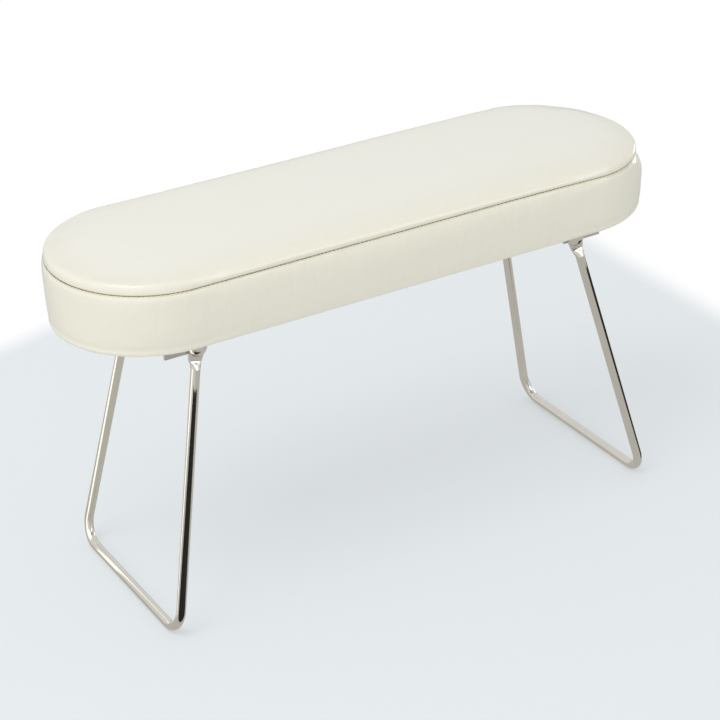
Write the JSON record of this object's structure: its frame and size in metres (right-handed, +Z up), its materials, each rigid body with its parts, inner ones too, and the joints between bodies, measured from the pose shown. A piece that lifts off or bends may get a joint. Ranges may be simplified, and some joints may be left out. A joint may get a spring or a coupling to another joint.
{
  "type": "folding padded arm rest",
  "caption": "Padded faux-leather arm rest on two folding bent-rod legs, for resting a hand or forearm over a nail table.",
  "frame": {"origin": "on the table, under the middle of the pad", "axes": "+Z up, +X along the pad towards the right-hand leg, +Y across the pad"},
  "size_m": [0.342, 0.1188, 0.1967],
  "materials": {
    "cover_leather": "glossy pearl ivory faux leather, fine grain",
    "thread": "twisted polyester thread",
    "foam": "open-cell foam",
    "plywood": "raw plywood",
    "lining_cloth": "non-woven cloth",
    "staple_steel": "drawn wire",
    "nickel_rod": "polished nickel plate",
    "plated_sheet": "nickel-plated pressed sheet",
    "plated_screw": "zinc plated",
    "nickel_rivet": "polished nickel plate"
  },
  "bodies": {
    "pad": {"top_panel": "cover_leather", "side_band": "cover_leather", "seam_thread": "thread", "foam_core": "foam", "base_board": "plywood", "bottom_cover": "lining_cloth", "hem_staples": "staple_steel", "bracket_left": "plated_sheet", "bracket_screws_left": "plated_screw", "pivot_rivet_left_front": "nickel_rivet", "pivot_washer_left_front": "plated_screw", "pivot_rivet_left_back": "nickel_rivet", "pivot_washer_left_back": "plated_screw", "bracket_right": "plated_sheet", "bracket_screws_right": "plated_screw", "pivot_rivet_right_front": "nickel_rivet", "pivot_washer_right_front": "plated_screw", "pivot_rivet_right_back": "nickel_rivet", "pivot_washer_right_back": "plated_screw"},
    "leg_left": {"leg_left": "nickel_rod"},
    "leg_right": {"leg_right": "nickel_rod"}
  },
  "joints": [
    {"name": "fold_right", "type": "hinge", "parent": "pad", "child": "leg_right", "pos_m": [0.1134, 0, 0.1495], "axis": [0, 1, 0], "range_deg": [0, 103.2]},
    {"name": "fold_left", "type": "hinge", "parent": "pad", "child": "leg_left", "pos_m": [-0.1134, 0, 0.1495], "axis": [0, -1, 0], "range_deg": [0, 99.9]}
  ]
}
